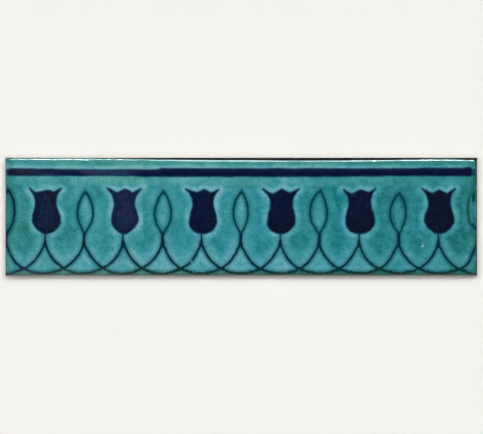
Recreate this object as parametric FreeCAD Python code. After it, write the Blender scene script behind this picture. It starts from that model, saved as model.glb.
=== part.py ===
# Glazed border tile, six inches by one and a half, pressed from clay dust and fired as one piece.
# It lies on its back: X runs along the border, Y across it towards the stripe, Z out of the glazed face.
# The origin is the middle of the back. All sizes are in millimetres.
import FreeCAD, Part
import math
import os

from FreeCAD import Vector

# Blank
tile_length = 152.4          # six inches, along the border
tile_height = 38.1           # one and a half inches, across it
tile_thickness = 9.5         # back lands to the flat of the face
front_edge_radius = 1.0      # arris of the face, rounded under the glaze
back_edge_chamfer = 0.5      # arris of the back

# Moulded ornament on the face
repeat_count = 6             # tulips along the tile
design_shift = 0.45          # the mould's ornament sits this far right of the tile's middle
relief_height = 0.35         # how far the ornament stands out of the face
line_width = 0.7             # raised outlines
stripe_width = 2.7
stripe_margin = 3.3          # upper edge of the tile to the stripe
bowl_margin = 0.75           # lower edge of the tile to the middle of the lowest line
leaf_height = 13.8           # pointed oval between two tulips, waist to apex
leaf_bulge = 2.3             # how far each side of the oval stands off its axis

# Tulip, measured from its foot
tulip_offset = 0.3           # the flowers stand this far right of their stems
tulip_belly_width = 9.1
tulip_belly_height = 4.6
tulip_neck_width = 6.9
tulip_neck_height = 10.2
tulip_spread = 11.2          # between the tips of the outer petals
tulip_height = 14.9          # foot to the tips of the outer petals
tulip_crest_height = 14.5    # foot to the point of the middle petal
tulip_notch_spread = 5.0     # between the two notches beside the middle petal
tulip_notch_height = 13.2
foot_rise = 0.1              # slope of the outline as it leaves the foot
tulip_seat = 0.15            # how far the foot sinks over the top of the stem

# Keying grooves in the back
key_count = 4
key_width = 4.2              # at the mouth
key_depth = 1.2
key_draft = 20.0             # degrees that each wall leans, so that the die draws
key_edge_margin = 3.6        # long edge of the tile to the nearest groove
key_end_margin = 6.0         # end of the tile to the groove's rounded end

pitch = tile_length / repeat_count
bowl_radius = pitch / 2
bowl_centre_y = -tile_height / 2 + bowl_margin + bowl_radius
face_z = tile_thickness
cut_clearance = 1.0          # how far cutting bodies run past what they cut
tulip_axes = [design_shift + pitch * (i - (repeat_count - 1) / 2) for i in range(repeat_count)]
leaf_axes = [design_shift + pitch * (i - repeat_count / 2) for i in range(repeat_count + 1)]
bowl_axes = [design_shift + pitch / 2 * i for i in range(-repeat_count - 1, repeat_count + 2)]


def pressed_block(thickness):
    """A block on the XY plane with the four edges of its upper face rounded."""
    block = Part.makeBox(tile_length, tile_height, thickness, Vector(-tile_length / 2, -tile_height / 2, 0))
    top = max(block.Faces, key=lambda face: face.CenterOfMass.z)
    return block.makeFillet(front_edge_radius, top.Edges)


def arc(centre, radius, start, end):
    """A circular edge in the XY plane between two angles in degrees, counter-clockwise."""
    circle = Part.Circle(centre, Vector(0, 0, 1), radius)
    return Part.ArcOfCircle(circle, math.radians(start), math.radians(end)).toShape()


def bowl(axis):
    """A line along the lower half circle that hangs from two stems a pitch apart."""
    centre = Vector(axis, bowl_centre_y, 0)
    outer = arc(centre, bowl_radius + line_width / 2, 180, 360)
    inner = arc(centre, bowl_radius - line_width / 2, 180, 360)
    closers = [Part.makeLine(outer.Vertexes[i].Point, inner.Vertexes[i].Point) for i in (0, 1)]
    return Part.Face(Part.Wire(Part.__sortEdges__([outer, inner] + closers)))


def pointed_oval(centre, radius, offset):
    """The flat figure that two discs share, each centred the offset to one side of the centre."""
    reach = math.degrees(math.acos(offset / radius))
    right = arc(centre - Vector(offset, 0, 0), radius, -reach, reach)
    left = arc(centre + Vector(offset, 0, 0), radius, 180 - reach, 180 + reach)
    return Part.Face(Part.Wire([right, left]))


def leaf(axis):
    """The outline of the pointed oval that stands on a stem between two tulips."""
    half = leaf_height / 2
    radius = (half ** 2 + leaf_bulge ** 2) / (2 * leaf_bulge)
    offset = radius - leaf_bulge
    centre = Vector(axis, bowl_centre_y + half, 0)
    outer = pointed_oval(centre, radius + line_width / 2, offset)
    inner = pointed_oval(centre, radius - line_width / 2, offset)
    return outer.cut(inner)


def petal_side(side):
    """One side of the tulip's outline, from its foot round the belly and neck to the petal's tip."""
    foot = Vector(0, 0, 0)
    belly = Vector(side * tulip_belly_width / 2, tulip_belly_height, 0)
    neck = Vector(side * tulip_neck_width / 2, tulip_neck_height, 0)
    tip = Vector(side * tulip_spread / 2, tulip_height, 0)
    curve = Part.BSplineCurve()
    leave = Vector(side, foot_rise, 0) * tulip_belly_width / 2
    curve.interpolate(
        Points=[foot, belly, neck, tip],
        Tangents=[leave, Vector(0, tulip_belly_height, 0), Vector(0, tulip_belly_height, 0), tip - neck],
        TangentFlags=[True, True, True, False],
    )
    return curve.toShape()


def petal_top(side):
    """The upper edges of an outer petal and of half the middle petal, with the notch between them."""
    tip = Vector(side * tulip_spread / 2, tulip_height, 0)
    notch = Vector(side * tulip_notch_spread / 2, tulip_notch_height, 0)
    crest = Vector(0, tulip_crest_height, 0)
    return [Part.makeLine(tip, notch), Part.makeLine(notch, crest)]


def tulip(axis):
    """A flat tulip standing on the stem at the given axis."""
    edges = [petal_side(1), petal_side(-1)] + petal_top(1) + petal_top(-1)
    face = Part.Face(Part.Wire(Part.__sortEdges__(edges)))
    face.translate(Vector(axis + tulip_offset, bowl_centre_y - tulip_seat, 0))
    return face


def stripe():
    """The plain band along the upper edge."""
    low = tile_height / 2 - stripe_margin - stripe_width
    return Part.makePlane(tile_length, stripe_width, Vector(-tile_length / 2, low, 0))


def ornament():
    """All raised shapes as one flat figure, trimmed to the tile's outline."""
    figures = [stripe()]
    figures += [tulip(axis) for axis in tulip_axes]
    figures += [bowl(axis) for axis in bowl_axes]
    figures += [leaf(axis) for axis in leaf_axes]
    outline = Part.makePlane(tile_length, tile_height, Vector(-tile_length / 2, -tile_height / 2, 0))
    return figures[0].fuse(figures[1:]).removeSplitter().common(outline)


def relief():
    """The ornament raised from the face. It rolls over the rounded edges as the face does."""
    root = face_z - front_edge_radius - relief_height
    figure = ornament()
    figure.translate(Vector(0, 0, root))
    prism = figure.extrude(Vector(0, 0, tile_thickness))
    envelope = pressed_block(tile_thickness)
    envelope.translate(Vector(0, 0, relief_height))
    return prism.common(envelope)


def key_groove(y):
    """One groove along the back with leaning walls and rounded ends."""
    half_length = tile_length / 2 - key_end_margin - key_width / 2
    lean = math.tan(math.radians(key_draft))

    def slot(z):
        half_width = key_width / 2 - z * lean
        right = arc(Vector(half_length, y, z), half_width, -90, 90)
        left = arc(Vector(-half_length, y, z), half_width, 90, 270)
        lower = Part.makeLine(left.Vertexes[1].Point, right.Vertexes[0].Point)
        upper = Part.makeLine(right.Vertexes[1].Point, left.Vertexes[0].Point)
        return Part.Wire([right, upper, left, lower])

    return Part.makeLoft([slot(-cut_clearance), slot(key_depth)], True)


def key_grooves():
    """The row of grooves, evenly spaced across the back."""
    first = -tile_height / 2 + key_edge_margin + key_width / 2
    step = -2 * first / (key_count - 1)
    return [key_groove(first + step * i) for i in range(key_count)]


def border_tile():
    body = pressed_block(tile_thickness)
    back = min(body.Faces, key=lambda face: face.CenterOfMass.z)
    body = body.makeChamfer(back_edge_chamfer, back.Edges)
    body = body.cut(key_grooves())
    return body.fuse(relief()).removeSplitter()


shape = border_tile()
os.makedirs("parts", exist_ok=True)
shape.Solids[0].exportStep("parts/border_tile.step")
print("solids", len(shape.Solids), "valid", shape.isValid(), "volume", round(shape.Volume, 2), "mm3")
print("box", shape.BoundBox)
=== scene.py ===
import bpy
import numpy as np
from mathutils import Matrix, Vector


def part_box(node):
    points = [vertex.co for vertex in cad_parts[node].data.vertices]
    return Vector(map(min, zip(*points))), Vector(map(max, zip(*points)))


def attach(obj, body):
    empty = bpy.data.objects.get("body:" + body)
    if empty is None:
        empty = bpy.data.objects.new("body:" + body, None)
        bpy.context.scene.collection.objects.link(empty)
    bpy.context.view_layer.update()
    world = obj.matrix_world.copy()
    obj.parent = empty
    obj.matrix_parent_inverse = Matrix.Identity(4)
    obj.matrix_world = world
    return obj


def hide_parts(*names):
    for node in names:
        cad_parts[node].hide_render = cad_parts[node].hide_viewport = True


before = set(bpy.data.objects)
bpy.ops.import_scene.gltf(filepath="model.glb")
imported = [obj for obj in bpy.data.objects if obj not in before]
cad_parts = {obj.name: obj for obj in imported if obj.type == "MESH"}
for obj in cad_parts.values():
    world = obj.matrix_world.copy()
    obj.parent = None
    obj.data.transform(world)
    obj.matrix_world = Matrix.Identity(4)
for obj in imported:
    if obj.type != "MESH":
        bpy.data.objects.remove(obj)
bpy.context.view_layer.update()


# Pressed blank
# Clay dust was pressed in a die, so the body is a flat slab with its face edges rounded and its back
# edges chamfered. Four long grooves in the back key it into the bedding.
MM = 0.001                   # shapes are worked out in millimetres, and the mesh is in metres
half_length, half_height, crest_level = np.array(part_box("border_tile")[1]) / MM
relief_height = 0.35
face_level = crest_level - relief_height
edge_drop = 1.0              # of the rounding along every edge of the face
edge_reach = 2.2             # room for the rounding where the upper edge is rubbed down most
side_reach = 1.1             # of the rounding along the lower edge and the ends
back_chamfer = 0.5
groove_lines = [-13.35, -4.45, 4.45, 13.35]
groove_half_width = 2.1      # at the mouth
groove_depth = 1.2
groove_draft = np.radians(20)
groove_margin = 6.0          # from a groove's ends to the ends of the tile
groove_reach = half_length - groove_margin
groove_end_points, groove_run_points = 9, 41
face_columns, face_rows = 536, 130
rounding_steps, side_steps = 10, 4
back_columns, strip_rows = 60, 6
same_place = 4               # points that agree to this many decimals of a millimetre are one
same_level = 0.001           # levels closer than this are one


def ease(value, start, end):
    """Nought before start and one after end, with the cubic 3t^2 - 2t^3 between them."""
    t = np.clip((value - start) / (end - start), 0, 1)
    return t * t * (3 - 2 * t)


def upper_wear(x):
    """How far the upper edge is rubbed down: hardly at the left end, and most right of the middle."""
    return 0.07 + 0.93 * ease(x, -50, 5) * (1 - 0.7 * ease(x, 28, 64)) + 0.2 * ease(x, 68, 75)


def upper_reach(x):
    """How far the rounding of the upper edge reaches in: further where it is rubbed, and unevenly."""
    uneven = np.cos(x / 0.53) + np.cos(x / 0.79 + 1) + np.cos(x / 1.31 + 2)
    return 0.43 + 0.12 * ease(x, -72, -62) + 1.6 * upper_wear(x) + 0.055 * uneven


def rounding(inset, reach):
    """How far the face has dropped at an inset from its edge: a quarter ellipse of the given reach."""
    share = np.clip(1 - inset / reach, 0, 1)
    return edge_drop * (1 - np.sqrt(1 - share ** 2))


def box_loop(x_low, x_high, y_low, y_high, columns, rows):
    """The border of a grid as a closed loop of points, anticlockwise from its lower left corner."""
    x = np.linspace(x_low, x_high, columns + 1)
    y = np.linspace(y_low, y_high, rows + 1)
    sides = [
        np.stack([x[:-1], np.full(columns, y_low)], 1),
        np.stack([np.full(rows, x_high), y[:-1]], 1),
        np.stack([x[:0:-1], np.full(columns, y_high)], 1),
        np.stack([np.full(rows, x_low), y[:0:-1]], 1),
    ]
    return np.concatenate(sides)


def grid_quads(numbers):
    """A quad between each two neighbouring rows and columns of a grid of point numbers, facing up."""
    corners = [numbers[:-1, :-1], numbers[:-1, 1:], numbers[1:, 1:], numbers[1:, :-1]]
    return np.stack(corners, -1).reshape(-1, 4)


def face_patch():
    """A flat grid inside the rounded edges, at the level of the face."""
    x = np.linspace(-half_length + edge_reach, half_length - edge_reach, face_columns + 1)
    y = np.linspace(-half_height + edge_reach, half_height - edge_reach, face_rows + 1)
    x, y = np.meshgrid(x, y)
    points = np.stack([x, y, np.full_like(x, face_level)], -1).reshape(-1, 3)
    return points, grid_quads(np.arange(len(points)).reshape(x.shape))


def rim_patch():
    """Loops that go down round the face: across the rounding, closer towards the edge, then down the
    straight side to the chamfer. Each loop is the border of the face grid moved outwards."""
    turn = np.linspace(0, np.pi / 2, rounding_steps + 1)
    side_z = np.linspace(face_level - edge_drop, back_chamfer, side_steps + 1)[1:]
    outset = np.concatenate([edge_reach * np.sin(turn), np.full(side_steps, edge_reach)])
    level = np.concatenate([np.full(rounding_steps, face_level), [face_level - edge_drop], side_z])
    loops = []
    for out, z in zip(outset, level):
        x, y = half_length - edge_reach + out, half_height - edge_reach + out
        loop = box_loop(-x, x, -y, y, face_columns, face_rows)
        loops.append(np.column_stack([loop, np.full(len(loop), z)]))
    count = len(loops[0])
    numbers = np.arange(len(loops) * count).reshape(len(loops), count)
    closed = np.concatenate([numbers, numbers[:, :1]], 1)
    return np.concatenate(loops), grid_quads(closed[::-1])


def band_patch(outer, inner, centre, outer_half, inner_half):
    """A band that faces down between two closed loops of different numbers of points.
    Both are put in order of their angle about the centre, each scaled by its own half sizes, and the
    band then steps along whichever loop has the next angle."""
    outer_angle = np.arctan2(*((outer[:, :2] - centre) / outer_half).T[::-1])
    inner_angle = np.arctan2(*((inner[:, :2] - centre) / inner_half).T[::-1])
    outer, outer_angle = outer[np.argsort(outer_angle)], np.sort(outer_angle)
    inner, inner_angle = inner[np.argsort(inner_angle)], np.sort(inner_angle)
    full_turn = [2 * np.pi]
    ahead = np.concatenate([outer_angle[1:], full_turn, inner_angle[1:], full_turn])
    steps_outer = (np.arange(len(ahead)) < len(outer))[np.argsort(ahead, kind="stable")]
    i = np.concatenate([[0], np.cumsum(steps_outer)[:-1]])
    j = np.concatenate([[0], np.cumsum(~steps_outer)[:-1]])
    third = np.where(steps_outer, (i + 1) % len(outer), len(outer) + (j + 1) % len(inner))
    triangles = np.stack([i % len(outer), len(outer) + j % len(inner), third], 1)
    return np.concatenate([outer, inner]), triangles


def groove_side(half_width):
    """Places along one groove and its half width there: half circles at the ends and a straight run."""
    straight = groove_reach - groove_half_width
    quarter = np.linspace(0, np.pi / 2, groove_end_points)
    end_x = straight + half_width * np.cos(quarter)
    end_h = half_width * np.sin(quarter)
    run = np.linspace(-straight, straight, groove_run_points)[1:-1]
    x = np.concatenate([-end_x, run, end_x[::-1]])
    return x, np.concatenate([end_h, np.full(len(run), half_width), end_h[::-1]])


def groove_loop(half_width, y, z):
    """The closed outline of a groove at one level, anticlockwise from its left end."""
    x, h = groove_side(half_width)
    lower = np.column_stack([x, y - h, np.full_like(x, z)])
    upper = np.column_stack([x, y + h, np.full_like(x, z)])
    return np.concatenate([lower, upper[-2:0:-1]])


def groove_patches(y):
    """The leaning wall and the floor of one groove. The floor joins its two long edges across."""
    floor_half_width = groove_half_width - groove_depth * np.tan(groove_draft)
    mouth = groove_loop(groove_half_width, y, 0.0)
    floor = groove_loop(floor_half_width, y, groove_depth)
    count = len(mouth)
    numbers = np.arange(2 * count).reshape(2, count)
    closed = np.concatenate([numbers, numbers[:, :1]], 1)
    x, h = groove_side(floor_half_width)
    rows = [np.column_stack([x, y + side * h, np.full_like(x, groove_depth)]) for side in (-1, 1)]
    across = grid_quads(np.arange(2 * len(x)).reshape(2, len(x)))[:, ::-1]
    wall = grid_quads(closed[::-1])
    return [(np.concatenate([mouth, floor]), wall), (np.concatenate(rows), across)]


def back_patches():
    """The chamfer, and a strip of the back round each groove with that groove's wall and floor."""
    x, y = half_length - back_chamfer, half_height - back_chamfer
    side_loop = box_loop(-half_length, half_length, -half_height, half_height, face_columns, face_rows)
    side_loop = np.column_stack([side_loop, np.full(len(side_loop), back_chamfer)])
    back_loop = box_loop(-x, x, -y, y, back_columns, strip_rows * len(groove_lines))
    back_loop = np.column_stack([back_loop, np.zeros(len(back_loop))])
    patches = [band_patch(side_loop, back_loop, (0, 0), (half_length, half_height), (x, y))]
    strip_edges = np.linspace(-y, y, len(groove_lines) + 1)
    for line, strip_low, strip_high in zip(groove_lines, strip_edges[:-1], strip_edges[1:]):
        strip = box_loop(-x, x, strip_low, strip_high, back_columns, strip_rows)
        strip = np.column_stack([strip, np.zeros(len(strip))])
        mouth = groove_loop(groove_half_width, line, 0.0)
        half = (x, (strip_high - strip_low) / 2)
        patches.append(band_patch(strip, mouth, (0, line), half, (groove_reach, groove_half_width)))
        patches += groove_patches(line)
    return patches


def joined(patches):
    """One set of points and faces from patches that meet: points at the same place become one,
    and a quad that has lost a corner by that becomes a triangle."""
    point_sets, face_sets = zip(*patches)
    starts = np.cumsum([0] + [len(point_set) for point_set in point_sets])
    points = np.concatenate(point_sets)
    places = np.round(points, same_place)
    first, number = np.unique(places, axis=0, return_index=True, return_inverse=True)[1:]
    number = number.reshape(-1)
    faces = []
    for start, face_set in zip(starts, face_sets):
        corners = number[face_set + start]
        kept = corners != np.roll(corners, 1, axis=1)
        whole = kept.all(1)
        faces += corners[whole].tolist()
        faces += [row[keep].tolist() for row, keep in zip(corners[~whole], kept[~whole])]
    return points[first], faces


points, faces = joined([face_patch(), rim_patch()] + back_patches())
x, y, z = points.T
on_face = z > face_level - edge_drop - same_level
end_inset, edge_inset = half_length - np.abs(x), half_height - np.abs(y)
reach = np.where(y > 0, upper_reach(x), side_reach)
drop = np.maximum(rounding(end_inset, side_reach), rounding(edge_inset, reach))
z = np.where(on_face, face_level - drop, z)


# Moulded ornament
# The press left low relief on the face: a stripe, six tulips, pointed ovals between them and half
# circles that cross below. The painter's brush followed it, straying a little on each flower.
flower_count = 6
pitch = 2 * half_length / flower_count
design_shift = 0.45          # of the pattern to the right, before the mould's own drift
bowl_radius = pitch / 2
bowl_margin = 0.75           # from the half circles to the lower edge
bowl_level = -half_height + bowl_margin + bowl_radius
line_shift = 0.42            # of the half circles, which the brush kept a hair further left
flower_offset = 0.3          # of the flowers, which it kept further right
stripe_start, stripe_end = -76.0, 75.7
far_away = 99.0              # past any distance on the tile

# Where the brush strayed. Each pointed oval has its own bulges to the left and the right, and height.
left_bulges = np.array([2.3, 2.4, 2.55, 2.5, 3.1, 2.75, 2.5])
right_bulges = np.array([2.4, 2.85, 2.8, 2.15, 2.2, 2.15, 2.3])
leaf_heights = np.array([14.3, 13.7, 13.8, 13.9, 14.1, 13.3, 17.0])

# The half circles swell by these on their left and their right, from the one at the left end on, then
# by these lower down on their left and their right, and the two at the ends sag at the bottom.
left_swells = np.array([0.0, 0.0, 0.0, -0.3, -0.12, 0.0, 0.0, 0.0, 0.1, 0.45, 0.35, 0.2, 0.05])
right_swells = np.array([0.0, 0.35, 0.35, 0.25, 0.05, 0.0, 0.0, -0.05, -0.15, -0.15, 0.1, -0.15, 0.0])
low_left_swells = np.array([0.24, 0.24, -0.15, -0.1, -0.1, 0.05, 0.05, 0.2] + 5 * [0.24])
low_right_swells = np.array(11 * [0.14] + [0.54, 0.14])
end_sags = np.array([0.4] + 11 * [0.0] + [0.65])

# Each flower's left and right side is shifted to the right by these at its foot, hip, belly, neck and
# tip. Its two tips end at these heights, and between them come a notch, the crest and a notch.
stray_heights = (0.0, 0.9, 4.6, 10.0, 14.75)
left_strays = [
    (0.0, 0.35, -0.1, -0.3, -0.25),
    (0.0, 0.4, 0.3, 0.0, -0.3),
    (0.0, -0.4, 0.2, 0.15, -0.2),
    (0.0, -0.6, 0.1, -0.15, -0.7),
    (0.0, -0.7, -0.1, -0.4, -0.1),
    (0.0, 0.2, -0.35, -0.1, -0.3),
]
right_strays = [
    (0.0, 0.05, 0.1, -0.4, -0.7),
    (0.0, -0.75, 0.0, -0.25, -0.05),
    (0.0, 0.35, -0.05, -0.1, -0.5),
    (0.0, 0.0, -0.05, 0.1, 0.1),
    (0.0, 0.4, 0.15, -0.05, -0.7),
    (0.0, 0.0, 0.2, 0.05, -0.55),
]
left_tips = [14.9, 14.85, 14.6, 14.6, 14.3, 14.75]
right_tips = [14.8, 14.75, 14.4, 14.6, 14.75, 14.75]
flower_tops = [
    [(-3.7, 13.5), (0.25, 14.35), (2.2, 13.75)],
    [(-2.5, 13.5), (0.2, 14.65), (2.5, 13.5)],
    [(-2.1, 13.45), (0.3, 14.6), (2.5, 13.5)],
    [(-3.0, 13.0), (0.0, 14.65), (2.7, 13.4)],
    [(-2.85, 13.1), (0.0, 14.5), (2.6, 13.6)],
    [(-2.35, 13.25), (-0.15, 14.4), (2.2, 13.25)],
]


def ripple(x, y, size, seed):
    """Eight cosine waves of about the given length in seeded directions, added to a spread of one."""
    draw = np.random.default_rng(seed)
    turn, phase = draw.uniform(0, 2 * np.pi, (2, 8))
    number = 2 * np.pi / (size * draw.uniform(0.7, 1.4, 8))
    along = x[:, None] * np.cos(turn) + y[:, None] * np.sin(turn)
    return np.cos(along * number + phase).sum(1) / 2


def blended(first, second, reach):
    """The smaller of two distances, and less where they differ by less than the reach, because paint
    fills the corner between two lines."""
    close = np.maximum(reach - np.abs(first - second), 0)
    return np.minimum(first, second) - close ** 2 / (4 * reach)


def bowl_lines(x, y):
    """Distance to the nearest half circle and to the next one, and the number of them round a point.
    Places fold onto one stem, so only its own circle and its two neighbours count. Each circle is
    fuller by a bell curve just below its stem, where two lines keep together, by one lower down, and
    by its own swell between them. The circles spread a little towards the ends as they go down.
    Paint fills their corners, most where two lines part below a stem, but the top of a stem that
    carries a flower is thinner."""
    drop = np.maximum(bowl_level - y, 0)
    spread = x / (1 + 0.0006 * drop) - line_shift
    stem = np.round(spread / bowl_radius)
    fold = spread - stem * bowl_radius
    carries_flower = stem % 2 == 1
    fill = 0.9 * np.maximum(ease(drop, 0.8, 3.8), np.where(carries_flower, 0.05, 0.55))
    fill = fill - 0.4 * ease(drop, 6, 9)
    lines = []
    inside = np.zeros(len(x))
    for step in (-1, 0, 1):
        across = fold - step * bowl_radius
        slant = np.degrees(np.arctan2(drop, np.abs(across)))
        number = np.clip(stem + step + flower_count, 0, 2 * flower_count).astype(int)
        swell = np.where(across < 0, left_swells[number], right_swells[number])
        low_swell = np.where(across < 0, low_left_swells[number], low_right_swells[number])
        fuller = 0.14 * np.exp(-((slant - 16) / 7) ** 2) + swell * np.exp(-((slant - 28) / 14) ** 2)
        fuller = fuller + low_swell * np.exp(-((slant - 50) / 13) ** 2)
        fuller = fuller + end_sags[number] * ease(slant, 68, 86)
        from_line = np.hypot(across, drop) - bowl_radius - fuller
        lines.append(np.where(y < bowl_level, np.abs(from_line), far_away))
        inside += (from_line < 0) & (y < bowl_level)
    distance = blended(blended(lines[0], lines[2], fill), lines[1], fill)
    distance = np.minimum(distance, np.hypot(fold, y - bowl_level))
    distance = distance + 0.09 * carries_flower * (1 - ease(drop, 1.4, 3.0))
    return distance, np.sort(lines, axis=0)[1], inside


def leaf_lines(x, y):
    """Signed distance to the nearest pointed oval, which is the figure shared by two circles, drawn in
    a little near its foot, and distance to its painted line, which fills the oval's corners.
    The oval at the left end leans to the right."""
    step = np.round((x - design_shift) / pitch)
    number = step.astype(int) + flower_count // 2
    fold = x - design_shift - step * pitch - 0.45 * (number == 0) * ease(y, 0, 9)
    fold = fold * (1 + 0.15 * np.exp(-((y - bowl_level - 1.6) / 1.3) ** 2))
    half = leaf_heights[number] / 2
    circles = []
    for side, bulges in ((1, left_bulges), (-1, right_bulges)):
        bulge = bulges[number]
        radius = (half ** 2 + bulge ** 2) / (2 * bulge)
        circles.append(np.hypot(fold - side * (radius - bulge), y - bowl_level - half) - radius)
    signed = np.maximum(*circles)
    return signed, np.where(signed < 0, blended(-circles[0], -circles[1], 0.9), signed)


def curve(start, end, leave, arrive, count=14):
    """A cubic from start to end with the given speeds at its ends, without its last point."""
    t = np.linspace(0, 1, count, endpoint=False)[:, None]
    return ((1 + 2 * t) * (1 - t) ** 2 * np.array(start) + t * (1 - t) ** 2 * np.array(leave)
            + t * t * (3 - 2 * t) * np.array(end) + t * t * (t - 1) * np.array(arrive))


def tulip_side(tip, strays):
    """One side of a flower in three cubics, from its foot round its belly and neck to its tip, and
    shifted by its strays, which are read between their heights."""
    side = np.concatenate([
        curve((0, 0), (4.57, 4.14), (8.3, 0.5), (0, 4.2)),
        curve((4.57, 4.14), (3.48, 9.83), (0, 9.0), (0, 5.7)),
        curve((3.48, 9.83), (5.65, tip), (0, 8.0), (2.6, 3.6)),
        [(5.65, tip), (5.35, tip + 0.12)],
    ])
    side[:, 0] += np.interp(side[:, 1], stray_heights, strays)
    return side


def tulip_outline(number):
    """The closed outline of a flower from its foot: up the right side, along the notches and the
    crest, and down the left side."""
    right = tulip_side(right_tips[number], right_strays[number])
    left = tulip_side(left_tips[number], np.negative(left_strays[number])) * (-1, 1)
    return np.concatenate([right, flower_tops[number][::-1], left[:0:-1]])


def outline_distance(x, y, outline):
    """Distance to the nearest edge of a closed outline, negative where a ray to the right crosses
    the outline an odd number of times."""
    place = np.stack([x, y], -1)[:, None]
    start, end = outline, np.roll(outline, -1, axis=0)
    edge = end - start
    offset = place - start
    along = np.clip((offset * edge).sum(-1) / (edge ** 2).sum(-1), 0, 1)
    gap = offset - along[..., None] * edge
    distance = np.sqrt((gap ** 2).sum(-1).min(1))
    spans = (start[:, 1] > place[..., 1]) != (end[:, 1] > place[..., 1])
    rise = np.where(edge[:, 1] == 0, 1.0, edge[:, 1])
    meets = start[:, 0] + (place[..., 1] - start[:, 1]) * edge[:, 0] / rise
    inside = (spans & (place[..., 0] < meets)).sum(1) % 2
    return np.where(inside, -distance, distance)


def tulip_fields(x, y):
    """Signed distance to the nearest flower, and that flower's number: each flower's outline is tried
    on the points within about half a pitch of its axis."""
    distance = np.full(len(x), far_away)
    flower = np.zeros(len(x), dtype=int)
    for number in range(flower_count):
        axis = design_shift + pitch * (number - (flower_count - 1) / 2) + flower_offset
        near = np.abs(x - axis) < 0.56 * pitch
        own = outline_distance(x[near] - axis, y[near] - bowl_level, tulip_outline(number))
        nearer = own < distance[near]
        distance[near] = np.where(nearer, own, distance[near])
        flower[near] = np.where(nearer, number, flower[near])
    return distance, flower


def stripe_field(x, y):
    """Signed distance to the stripe, the largest of the distances past its two edges and two ends.
    Left of the place where the brush was laid on again it is narrower, and its edges drift a little
    from end to end. The brush was set down at its right end, and left a blob there and a narrow tail.
    Its left end is narrower too."""
    blob = np.exp(-((x - 73.3) / 1.1) ** 2)
    lower = 13.24 - 0.3 * ease(x, -38, -30) + 0.24 * ease(x, 26, 58) - 0.1 * blob
    upper = 15.25 + 0.32 * ease(-x, 44, 74) + 0.38 * ease(x, -27.4, -25.4) - 0.05 * ease(x, 0, 10)
    upper = upper + 0.18 * ease(x, 30, 68) + 0.25 * blob
    upper = upper - 0.3 * ease(x, 74, 74.6) - 0.3 * ease(-x, 74.4, 75.3)
    return np.maximum.reduce([lower - y, y - upper, x - stripe_end, stripe_start - x])


# The mould was not quite true: the pattern lies up to half a millimetre to the left in the middle of
# the tile, and it leans.
drawn_x = x + 0.5 + 0.001 * x - 0.000073 * x ** 2 - 0.014 * y
wander_x = drawn_x + 0.07 * ripple(x, y, 11, 1) + 0.025 * ripple(x, y, 2.2, 2)
wander_y = y + 0.05 * ripple(x, y, 13, 3) + 0.025 * ripple(x, y, 2.6, 4)
bowl_distance, next_distance, bowls_round = bowl_lines(wander_x, wander_y)
leaf_distance, leaf_line = leaf_lines(wander_x, wander_y)
line_distance = np.maximum(blended(bowl_distance, leaf_line, 0.5), 0)
flower_x = drawn_x + 0.04 * ripple(x, y, 2.4, 5)
flower_y = y + 0.03 * ripple(x, y, 2.4, 6)
tulip_distance, flower = tulip_fields(flower_x, flower_y)
stripe_distance = stripe_field(x, y + 0.04 * ripple(x, y, 6, 7))

# The thick glaze levels the relief into gentle slopes.
line_ridge = 0.38 * np.exp(-(line_distance / 0.62) ** 2)
raised_field = 1 - ease(np.minimum(tulip_distance, stripe_distance), -1.6, 1.5)
relief = relief_height * np.maximum(line_ridge, raised_field)


# Glaze and colours
# A clear blue-green glaze ran over cobalt painting in the kiln. It is thin and pale on the shoulders
# of the relief, pools deep between them, and turns greener towards the edges of the tile.
field_distance = np.minimum(tulip_distance, stripe_distance)
on_stripe = stripe_distance < tulip_distance
in_triangle = bowls_round == 1
in_leaf = leaf_distance < 0
above_flowers = ease(y, 9.4, 10.8)
above_stripe = y > 15.4

# How deep the glaze lies, from nought where it is thin and pale beside the flowers and lines. It stayed
# thin in the triangle under each stem, and deepened along the inside of the ovals.
thin_by_flower = (0.64 + 0.12 * ripple(x, y, 8, 12)) * (1 - ease(field_distance, 0.4, 2.8))
thin_by_line = (0.28 + 0.2 * ease(-y, 4.6, 6.6)) * (1 - ease(line_distance, 0.9, 4.5))
depth = 0.88 - np.maximum(thin_by_flower, thin_by_line)
triangle_depth = 0.19 + 0.18 * ease(-line_distance, -1.4, -0.5) + 0.14 * ease(line_distance, 1.7, 2.8)
triangle_depth = triangle_depth + 0.17 * ease(-x, 15, 32) - 0.06 * ease(-x, 52, 60)
triangle_depth = triangle_depth + 0.1 * ease(x, 52, 60)
depth = np.where(in_triangle, triangle_depth, depth)
depth = np.where(in_leaf, 0.46 + 0.32 * ease(leaf_distance, -1.9, -0.3), depth)
depth = depth + above_flowers * (0.46 - depth) * 0.8
depth = np.where(above_stripe, 0.05 + 0.5 * ease(y, 15.9, 17.2), depth)

# It pooled round the ovals and, from end to end, most towards the right and at two places there. It is
# thinner where two half circles share their foot, and between the tips of a flower.
leaf_pool = np.exp(-np.maximum(leaf_distance - 0.3, 0) / 0.9) * (leaf_distance > 0)
depth = depth + 0.21 * leaf_pool
pool_one = 0.1 * np.exp(-((x - 27) / 5) ** 2)
pool_two = 0.12 * np.exp(-((x - 51) / 5) ** 2)
depth = depth - 0.07 + 0.3 * ease(x, -14, 70) + 0.1 * ease(-x, 50, 76) + pool_one + pool_two
shared_foot = ease(-y, 9.5, 12) * (bowls_round == 2)
depth = depth - 0.14 * shared_foot
from_flower = np.abs(np.mod(drawn_x - design_shift, pitch) - pitch / 2)
tip_gap = ease(-from_flower, -5.2, -4.0) * ease(y, 6.9, 7.3) * ease(-tulip_distance, -1.7, -0.5)
tip_pools = np.array([0.22, -0.15, 0.0, 0.22, 0.04, 0.0])
gap_depth = 0.06 + 0.2 * ease(x, 0, 60) + 0.1 * ease(-x, 45, 65)
gap_depth = gap_depth + tip_pools[flower]
depth = depth + tip_gap * (gap_depth - depth)

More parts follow.
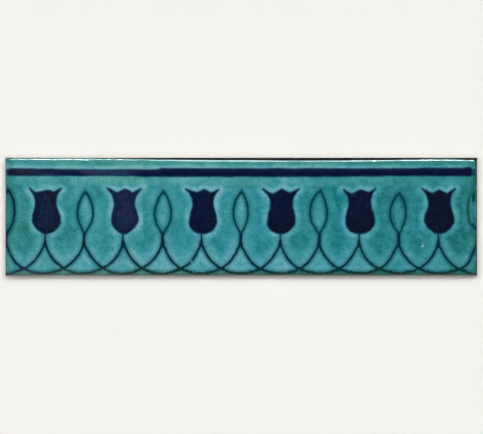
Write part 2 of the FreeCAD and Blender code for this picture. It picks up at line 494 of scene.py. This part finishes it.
green = 0.05 + 0.5 * ease(-x, 26, 64) + 0.2 * ease(-x, 71, 75) + 0.42 * ease(x, 34, 76)
green = np.maximum(green, 0.7 * above_flowers)
green = np.where(above_stripe, 0.3 + 0.5 * ease(y, 16.0, 16.9), green)

# The cobalt is thin on the first two flowers and on the left of the stripe, and bluest on the stripe.
flower_thin = np.array([0.3, 0.47, 0.03, 0.0, 0.03, 0.03])
thin_paint = flower_thin[flower] * (0.6 + 0.5 * ease(-tulip_distance, 0.6, 2.8))
thin_places = (-74, -68, -61, -58.5, -53, -49, -38, -34.5, -32)
thin_amounts = (0.2, 0.35, 0.5, 0.12, 0.1, 0.9, 1.05, 0.25, 0.0)
stripe_thin = np.interp(x, thin_places, thin_amounts)
streak = np.exp(-((x + 62) / 2.5) ** 2) - np.exp(-((x + 50) / 4) ** 2)
stripe_thin = stripe_thin + 0.6 * streak * np.clip(14.2 - y, -1, 1)
thin_paint = np.where(on_stripe, stripe_thin, thin_paint)
mauve = on_stripe * (0.4 * np.exp(-((x + 48.5) / 2.5) ** 2) + 0.15 * np.exp(-((x + 71.5) / 3) ** 2))
flower_tones = np.array([0.0, 0.5, 0.5, 0.4, 0.2, 0.0])
blue_tone = flower_tones[flower] - 0.3 * ease(-y, -2, 3)
stripe_tone = 0.85 + 0.4 * ease(x, -44, -36) * (1 - ease(x, 0, 16)) - 0.35 * ease(x, 30, 70)
stripe_tone = stripe_tone - 1.1 * ease(-x, 55, 72)
blue_tone = np.where(on_stripe, stripe_tone, blue_tone)

# The brush ran thin on the ovals and at the ends of the stripe, touched the last oval only twice, and
# left more cobalt where one line lies over another. It slipped off the relief at two places and thinned
# on the flowers' stems. Along the lower edge the paint bled into the glaze.
slip = 0.9 * np.exp(-(np.hypot(drawn_x + 15.55, y + 14.36) / 0.45) ** 2)
slip = slip + 0.6 * np.exp(-(np.hypot(drawn_x + 63.3, y + 6.1) / 0.45) ** 2)
stem_place = np.abs(np.mod(drawn_x - line_shift, pitch) - pitch / 2)
slip = slip + 0.3 * np.exp(-(stem_place / 0.6) ** 2 - ((y - bowl_level + 1.5) / 0.4) ** 2)
line_strength = np.where((leaf_line < bowl_distance) & (x > -70), 0.83, 1.0) * (1 - slip)
upper_touch = outline_distance(x, y, np.array([(75.2, 8.0), (74.9, 5.3)]))
lower_touch = outline_distance(x, y, np.array([(74.6, -2.4), (75.6, -4.0)]))
touch = np.minimum(upper_touch, lower_touch)
line_strength = np.where(touch < 0.8, 0.88, line_strength)
line_distance = np.minimum(line_distance, touch)
overlap = ease(-next_distance, -0.6, -0.25)
stripe_strength = 1 - 0.42 * ease(x, 74.0, 74.7) - 0.2 * ease(-x, 74.8, 75.4)
field_strength = np.where(on_stripe, stripe_strength, 1.0)
paint_strength = np.where(field_distance < line_distance, field_strength, line_strength)
bleed = ease(-y, 16.1, 17.1) * (0.4 + 0.6 * ease(x, -62, -30))
pocket = ease(-y, 15.6, 16.4) * (bowls_round == 0)

# The last oval at the right end is bare but for those touches, and glaze pooled dark beside it. It
# pooled green at both ends of the tile too.
bare_ridge = ease(x, 72.6, 73.2) * ease(y, -6.4, -5.4) * ease(touch, 0.35, 0.6)
beside_ridge = np.exp(-((leaf_distance - 0.9) / 0.6) ** 2) * (x > 70)
beside_ridge = beside_ridge * ease(y, -4.5, -2.5) * (1 - ease(y, 5.5, 7.5))
smear = np.exp(-((x - 74.1) / 0.8) ** 2 - ((y + 12.4) / 1.1) ** 2)
right_end = (0.52 - 0.1 * ease(y, 7, 10)) * ease(x, 71.5, 75.2) * np.where(in_leaf, 0.25, 1.0)
# The last half millimetre at the right end is darker still.
right_end = np.maximum(right_end, 0.9 * ease(x, 75.4, 75.85))
pooled = np.maximum(right_end, 0.34 * ease(-x, 72.4, 75))
dark_marks = np.maximum(beside_ridge, 0.9 * smear)

# Painted shade lies along the upper edge as a dark line, widest where it is rubbed down, and the
# lower edge and the left end are darker.
edge_shade_places = (-76, -72.5, -58, -33, -21, -9, 3, 15, 33, 51, 62, 68, 74)
edge_shade_widths = (0.3, 0.08, 0.05, 0.38, 0.65, 0.73, 0.85, 0.93, 0.91, 0.68, 0.36, 0.42, 0.82)
edge_shade_width = np.interp(x, edge_shade_places, edge_shade_widths)
# painted shade: a dark line along the upper edge, fading out down the side
painted_edge_shade = ease(y - half_height + edge_shade_width, -0.1, 0.12) * ease(z, 6.6, 8.4)
# The lower edge and the left end are darker, in grainy patches.
darker_edges = np.maximum(0.95 * ease(-y, 17.9, 18.8), 0.75 * ease(-x, 75.7, 76.1))

# The relief fades out at the edges, and the glaze over it is a little wavy. Nothing stands higher than
# the solid's crests.
glaze_wave = 0.018 * ripple(x, y, 5.5, 8) + 0.008 * ripple(x, y, 2.2, 9)
relief_share = np.where(on_face, ease(np.minimum(end_inset, edge_inset), 0.0, 1.2), 0.0)
z = z + relief_share * np.minimum(relief * 0.95 + glaze_wave * 0.6, relief_height)

tile_mesh = bpy.data.meshes.new("glazed_border_tile")
tile_mesh.from_pydata((np.column_stack([x, y, z]) * MM).tolist(), [], faces)
tile_mesh.polygons.foreach_set("use_smooth", np.ones(len(faces), dtype=bool))
crease = np.radians(40)
tile_mesh.set_sharp_from_angle(angle=crease)
surface_fields = {
    "line_distance": line_distance,
    "field_distance": field_distance,
    "paint_strength": paint_strength,
    "thin_paint": thin_paint,
    "blue_tone": blue_tone,
    "mauve": mauve,
    "bleed": bleed,
    "overlap": overlap,
    "pocket": pocket,
    "bare_ridge": bare_ridge,
    "glaze_depth": depth,
    "green_cast": green,
    "pooled": pooled,
    "dark_marks": dark_marks,
    "painted_edge_shade": painted_edge_shade,
    "darker_edges": darker_edges,
}
for name, values in surface_fields.items():
    held = tile_mesh.attributes.new(name, "FLOAT", "POINT")
    held.data.foreach_set("value", values.astype(np.float32))
tile = bpy.data.objects.new("glazed_border_tile", tile_mesh)
bpy.context.collection.objects.link(tile)


def shade(red, green, blue):
    """A colour written as on a screen, from 0 to 255, as the linear values that a shader takes."""
    value = np.array([red, green, blue]) / 255
    linear = np.where(value <= 0.04045, value / 12.92, ((value + 0.055) / 1.055) ** 2.4)
    return (*linear.tolist(), 1.0)


finish = bpy.data.materials.new("turquoise_glaze_on_clay")
finish.use_nodes = True
tree = finish.node_tree
surface = tree.nodes["Principled BSDF"]


def add(kind, inputs, **settings):
    """A shader node with its settings, its inputs given as plain values or joined to other nodes."""
    made = tree.nodes.new(kind)
    for name, value in settings.items():
        setattr(made, name, value)
    for key, value in inputs.items():
        if isinstance(value, bpy.types.NodeSocket):
            tree.links.new(value, made.inputs[key])
        else:
            made.inputs[key].default_value = value
    return made


def calc(operation, first, second):
    """One sum on two values."""
    return add("ShaderNodeMath", {0: first, 1: second}, operation=operation).outputs[0]


def times(first, second):
    """Two values multiplied."""
    return calc("MULTIPLY", first, second)


def plus(first, second):
    """Two values added."""
    return calc("ADD", first, second)


def vectors(operation, first, second, output="Vector"):
    """One sum on two vectors, which gives a vector or a value."""
    return add("ShaderNodeVectorMath", {0: first, 1: second}, operation=operation).outputs[output]


def rise(value, start, end):
    """Nought at start to one at end, eased."""
    inputs = {"Value": value, "From Min": start, "From Max": end}
    return add("ShaderNodeMapRange", inputs, interpolation_type="SMOOTHSTEP").outputs[0]


def over(amount, under, upper):
    """The upper colour laid over the one under it, by an amount from nought to one."""
    mixed = add("ShaderNodeMix", {0: amount, 6: under, 7: upper}, data_type="RGBA", clamp_factor=True)
    return mixed.outputs[2]


def stops(value, colours):
    """A colour read from evenly spaced stops."""
    ramp = add("ShaderNodeValToRGB", {0: value})
    bands = ramp.color_ramp
    while len(bands.elements) < len(colours):
        bands.elements.new(0.5)
    for place, (band, colour) in enumerate(zip(bands.elements, colours)):
        band.position = place / (len(colours) - 1)
        band.color = colour
    return ramp.outputs[0]


def field(name):
    """A value that the mesh holds at each point."""
    return add("ShaderNodeAttribute", {}, attribute_name=name).outputs["Fac"]


position = add("ShaderNodeTexCoord", {}).outputs["Object"]


def noise(size, detail, roughness=0.5, shift=0.0):
    """Noise about nought whose largest patches are about the size given in mm."""
    moved = vectors("ADD", position, (shift, shift, shift))
    inputs = {"Vector": moved, "Scale": 1 / (size * MM), "Detail": detail, "Roughness": roughness}
    return calc("SUBTRACT", add("ShaderNodeTexNoise", inputs).outputs[0], 0.5)


flat_place = vectors("MULTIPLY", position, (1, 1, 0))


def spot(x, y, size):
    """One in the middle of a round speck and nought from the given distance outwards, all in mm."""
    away = vectors("DISTANCE", flat_place, (x * MM, y * MM, 0.0), "Value")
    return rise(away, size * MM, 0.3 * size * MM)


def stroke(start, end, width):
    """One along a straight scratch and nought from the given distance outwards, all in mm.
    A place is compared with the nearest place on the scratch."""
    first = (start[0] * MM, start[1] * MM, 0.0)
    run = ((end[0] - start[0]) * MM, (end[1] - start[1]) * MM, 0.0)
    offset = vectors("SUBTRACT", flat_place, first)
    ratio = {0: vectors("DOT_PRODUCT", offset, run, "Value"), 1: run[0] ** 2 + run[1] ** 2}
    share = add("ShaderNodeMath", ratio, operation="DIVIDE", use_clamp=True).outputs[0]
    nearest = add("ShaderNodeVectorMath", {0: run, "Scale": share}, operation="SCALE").outputs[0]
    return rise(vectors("DISTANCE", offset, nearest, "Value"), width * MM, 0.0)


mottle = noise(10, 5, 0.95)
drift = noise(16, 2, 0.6, shift=3.0)
grain = noise(0.9, 3, 0.7, shift=5.0)

blue_glaze = [shade(110, 172, 186), shade(84, 162, 175), shade(62, 150, 162), shade(46, 139, 151),
              shade(32, 127, 138), shade(20, 108, 115)]
green_glaze = [shade(112, 176, 171), shade(88, 162, 157), shade(68, 149, 145), shade(52, 136, 129),
               shade(40, 118, 108), shade(30, 96, 83)]
glaze_depth = plus(field("glaze_depth"), times(mottle, 2.3))
glaze_place = times(glaze_depth, 0.8)
green_cast = plus(field("green_cast"), times(drift, 1.2))
colour = over(green_cast, stops(glaze_place, blue_glaze), stops(glaze_place, green_glaze))

# Green pools at the ends and in the pockets along the lower edge.
apart = add("ShaderNodeSeparateXYZ", {0: position}).outputs
along, height = apart["X"], apart["Z"]
patchy_pools = times(field("pooled"), rise(mottle, -0.35, 0.1))
pooled_place = calc("MAXIMUM", field("dark_marks"), patchy_pools)
pooled_colour = over(rise(along, 75.0 * MM, 75.9 * MM), shade(14, 76, 56), shade(16, 58, 26))
colour = over(pooled_place, colour, pooled_colour)
pocket_colour = over(rise(along, -60 * MM, 40 * MM), shade(98, 148, 122), shade(44, 116, 76))
colour = over(times(field("pocket"), 0.75), colour, pocket_colour)

# The painted lines, with a stain in the glaze beside them.
bleed = field("bleed")
ragged = times(grain, plus(0.35, bleed))
line_place = calc("SUBTRACT", plus(field("line_distance"), ragged), times(bleed, 0.12))
bare = field("bare_ridge")
strength = field("paint_strength")
painted = times(strength, calc("SUBTRACT", 1.0, bare))
colour = over(times(rise(line_place, 3.0, 0.8), 0.06), colour, shade(60, 90, 105))
stain_strength = calc("SUBTRACT", times(strength, 0.85), 0.25)
stain = times(rise(line_place, 1.6, 0.2), stain_strength)
colour = over(stain, colour, shade(16, 84, 98))
line_colour = over(rise(drift, -0.2, 0.2), shade(0, 34, 62), shade(2, 42, 55))
line_colour = over(rise(strength, 0.98, 0.8), line_colour, shade(0, 60, 74))
patchy = rise(noise(2.6, 3, 0.8, shift=29.0), -0.05, 0.35)
line_colour = over(times(patchy, 0.3), line_colour, shade(16, 76, 96))
line_colour = over(times(field("overlap"), 0.65), line_colour, shade(12, 32, 68))
bled_colour = over(rise(along, -64 * MM, -24 * MM), shade(58, 78, 76), shade(10, 52, 52))
line_colour = over(bleed, line_colour, bled_colour)
line_cover = times(rise(line_place, 0.53, 0.16), rise(painted, 0.0, 0.85))
colour = over(line_cover, colour, line_colour)
crest = times(rise(line_place, 0.55, 0.1), bare)
colour = over(times(crest, 0.25), colour, shade(90, 166, 178))

# The painted flowers and stripe, with a paler rim.
field_place = plus(field("field_distance"), times(grain, 0.3))
middle = rise(field("field_distance"), -0.8, -3.2)
tone = plus(field("blue_tone"), times(middle, 0.25))
tone = plus(tone, times(noise(4, 4, 0.8, shift=20.0), 1.6))
navy = over(tone, shade(8, 17, 35), shade(5, 18, 55))
thin_paint = field("thin_paint")
thin_spread = plus(0.9, times(thin_paint, 2.6))
thin_noise = times(noise(1.6, 4, 0.9, shift=26.0), thin_spread)
navy = over(plus(thin_paint, thin_noise), navy, shade(36, 51, 80))
mauve_noise = plus(1.0, times(noise(2.5, 4, 0.8, shift=32.0), 4.0))
navy = over(times(field("mauve"), mauve_noise), navy, shade(64, 46, 66))
pale_flecks = rise(noise(1.4, 3, 0.9, shift=23.0), -0.1, 0.4)
navy = over(times(pale_flecks, 0.12), navy, shade(40, 52, 80))
colour = over(times(rise(field_place, 0.48, -0.12), strength), colour, shade(18, 66, 97))
colour = over(times(rise(field_place, 0.08, -0.47), strength), colour, navy)

# Dark specks in the glaze, pinholes in the painting, and a crooked scratch beside the last flower,
# faint above and white below, where it is chipped and its glint is painted in. Each speck has its place
# and its size, and each stretch of the scratch its two ends, its width and its whiteness.
for place in ((-39.3, -14.3, 0.4), (1.2, -14.75, 0.35), (-41.6, -10.6, 0.35), (19.2, -18.0, 0.7)):
    colour = over(times(spot(*place), 0.7), colour, shade(14, 66, 66))
for place in ((10.5, 1.8, 0.22), (15.3, -1.1, 0.22), (12.4, -2.5, 0.22), (35.5, 1.6, 0.2)):
    colour = over(times(spot(*place), 0.3), colour, shade(110, 80, 76))
scratch_glints = [
    ((57.05, -6.05), (58.15, -6.7), 0.15, 0.14), ((58.15, -6.7), (57.95, -7.4), 0.15, 0.12),
    ((57.95, -7.4), (58.4, -8.3), 0.13, 0.08), ((58.4, -8.3), (58.65, -9.3), 0.18, 0.22),
    ((58.65, -9.3), (58.25, -9.65), 0.24, 0.7), ((58.65, -9.3), (58.9, -9.45), 0.22, 0.55),
    ((58.25, -9.65), (57.85, -10.4), 0.13, 0.1),
]
# the scratch, white with its chips and a painted glint
for start, end, width, whiteness in scratch_glints:
    colour = over(times(stroke(start, end, width), whiteness), colour, shade(205, 236, 234))

# Two green drops at the right end, darker edges, and painted shade: the dark upper edge line and a spot
# at the upper right.
for place in ((75.2, 8.3, 1.3), (75.6, -6.9, 1.5)):
    colour = over(times(spot(*place), 0.6), colour, shade(20, 110, 70))
painted_edge_shade = field("painted_edge_shade")
colour = over(times(field("darker_edges"), rise(grain, -0.25, 0.2)), colour, shade(68, 72, 66))
# painted shade along the upper edge, and a dark spot of it at the upper right corner
colour = over(painted_edge_shade, colour, shade(26, 28, 28))
colour = over(times(spot(75.7, 18.3, 0.8), 0.9), colour, shade(14, 24, 20))

# The glaze ends high on the sides along an uneven line. Below it the clay is bare, stained in patches
# and grimy on the sides, and darker towards the back.
glaze_end = 7.4 * MM
glaze_fade = 0.3 * MM
glaze_line = plus(height, times(noise(7, 4, 0.6, shift=8.0), 4.5 * MM))
glazed = rise(glaze_line, glaze_end, glaze_end + glaze_fade)
clay_speck = noise(0.7, 4, 0.75, shift=11.0)
clay = over(rise(clay_speck, -0.2, 0.25), shade(160, 144, 120), shade(190, 175, 150))
clay_stain = rise(noise(18, 4, 0.6, shift=14.0), 0.0, 0.2)
clay = over(times(clay_stain, 0.6), clay, shade(140, 130, 114))
side_colour = over(rise(clay_speck, -0.25, 0.3), shade(92, 83, 71), shade(128, 117, 100))
# darker towards the back
side_colour = over(times(rise(height, 4.0 * MM, 1.4 * MM), 0.7), side_colour, shade(60, 55, 48))
grime = plus(0.45, times(rise(noise(9, 4, 0.7, shift=35.0), 0.12, -0.08), 0.55))
clay = over(times(rise(height, 0.2 * MM, 1.6 * MM), grime), clay, side_colour)
tree.links.new(over(glazed, clay, colour), surface.inputs["Base Color"])

# The glaze shines, and the clay and the painted shade along the upper edge are dull. Clay is grainy,
# and the glaze slightly uneven.
glaze_roughness = plus(0.09, times(grain, 0.08))
clay_share = calc("SUBTRACT", 1.0, glazed)
dull = calc("MAXIMUM", clay_share, painted_edge_shade)
roughness = plus(glaze_roughness, times(dull, 0.75))
tree.links.new(roughness, surface.inputs["Roughness"])
surface.inputs["IOR"].default_value = 1.5
tree.links.new(times(calc("SUBTRACT", 1.0, dull), 0.5), surface.inputs["Specular IOR Level"])
clay_height = times(clay_speck, clay_share)
bump_height = plus(clay_height, times(noise(2.0, 2, 0.5, shift=17.0), 0.12))
bump = add("ShaderNodeBump", {"Strength": 0.5, "Distance": 0.15 * MM, "Height": bump_height})
tree.links.new(bump.outputs[0], surface.inputs["Normal"])
tile_mesh.materials.append(finish)

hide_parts("border_tile")
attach(tile, "root")


# Floor, light and camera
# The tile lies on pale paper in soft light from overhead. Strips of light high beyond its upper edge
# show in the glaze there, and the camera looks straight down on the face.
paper_colour = shade(245, 244, 240)
floor_half = 4.0             # in metres, as are the strips and the camera
floor_level = -0.00002       # a hair below the tile's back, so that the two don't share a level
floor_mesh = bpy.data.meshes.new("floor")
corners = [(-floor_half, -floor_half), (floor_half, -floor_half),
           (floor_half, floor_half), (-floor_half, floor_half)]
floor_mesh.from_pydata([(a, b, floor_level) for a, b in corners], [], [(0, 1, 2, 3)])
floor = bpy.data.objects.new("floor", floor_mesh)
bpy.context.collection.objects.link(floor)
floor_paper = bpy.data.materials.new("pale_paper")
floor_paper.use_nodes = True
paper = floor_paper.node_tree.nodes["Principled BSDF"]
paper.inputs["Base Color"].default_value = paper_colour
paper.inputs["Roughness"].default_value = 1.0
paper.inputs["Specular IOR Level"].default_value = 0.0
floor_mesh.materials.append(floor_paper)

# Suns in pairs, one a little to the left and one to the right. Each has its share of the light on the
# floor, and its lean from overhead towards the upper edge in degrees.
sun_width = np.radians(11.5)
sun_turn = np.radians(6.5)
for name, share, lean in (("main_sun", 0.30, 6.7), ("low_sun", 0.072, 13.5), ("high_sun", 0.112, -5)):
    for side, turn in (("left", -sun_turn), ("right", sun_turn)):
        sun_lamp = bpy.data.lights.new(f"{side}_{name}", "SUN")
        sun_lamp.energy = share * np.pi
        sun_lamp.angle = sun_width
        sun = bpy.data.objects.new(f"{side}_{name}", sun_lamp)
        sun.rotation_euler = (np.radians(-lean), turn, 0)
        sun.visible_glossy = False
        bpy.context.collection.objects.link(sun)

strip_elevation = np.radians(56)
strip_height = 0.13


def strip_light(name, across, away, width, brightness):
    """A lamp that only shows in the glaze: a panel high beyond the upper edge, tilted to face the tile
    from a distance away. Its power is brightness times area times pi."""
    lamp = bpy.data.lights.new(name, "AREA")
    lamp.shape = "RECTANGLE"
    lamp.size, lamp.size_y = width, strip_height
    lamp.energy = brightness * width * strip_height * np.pi
    strip = bpy.data.objects.new(name, lamp)
    strip.location = (across, away * np.cos(strip_elevation), away * np.sin(strip_elevation))
    strip.rotation_euler = (strip_elevation - np.pi / 2, 0, 0)
    strip.visible_diffuse = False
    strip.visible_camera = False
    bpy.context.collection.objects.link(strip)


strip_light("long_strip", across=0.0, away=0.5, width=0.26, brightness=15.5)
strip_light("left_strip", across=-0.0689, away=0.48, width=0.0191, brightness=200.0)
strip_light("right_strip", across=0.0731, away=0.48, width=0.0064, brightness=300.0)

# The room is dim all round, and dimmest overhead. The camera sees it as paper.
world = bpy.data.worlds.new("studio")
world.use_nodes = True
bpy.context.scene.world = world
tree = world.node_tree
up = add("ShaderNodeSeparateXYZ", {0: add("ShaderNodeTexCoord", {}).outputs["Generated"]}).outputs[2]
wall_light, ceiling_light = (0.08, 0.08, 0.08, 1), (0.01, 0.01, 0.01, 1)
around = over(rise(up, 0.0, 1.0), wall_light, ceiling_light)
seen = add("ShaderNodeLightPath", {}).outputs["Is Camera Ray"]
tree.links.new(over(seen, around, paper_colour), tree.nodes["Background"].inputs["Color"])

picture_width = 483          # in pixels
pixels_per_mm = 3.0968       # on the tile's face
camera_height = 3.0          # above the face
camera_x, camera_y = 0.06, -0.07   # of the picture's middle from the tile's, in millimetres
sensor_width = 36.0
lens_camera = bpy.data.cameras.new("camera")
lens_camera.sensor_width = sensor_width
lens_camera.lens = sensor_width * camera_height / (picture_width / pixels_per_mm * MM)
lens_camera.clip_end = 20.0
camera = bpy.data.objects.new("camera", lens_camera)
camera.location = (camera_x * MM, camera_y * MM, face_level * MM + camera_height)
bpy.context.collection.objects.link(camera)
bpy.context.scene.camera = camera
bpy.context.scene.view_settings.view_transform = "Standard"
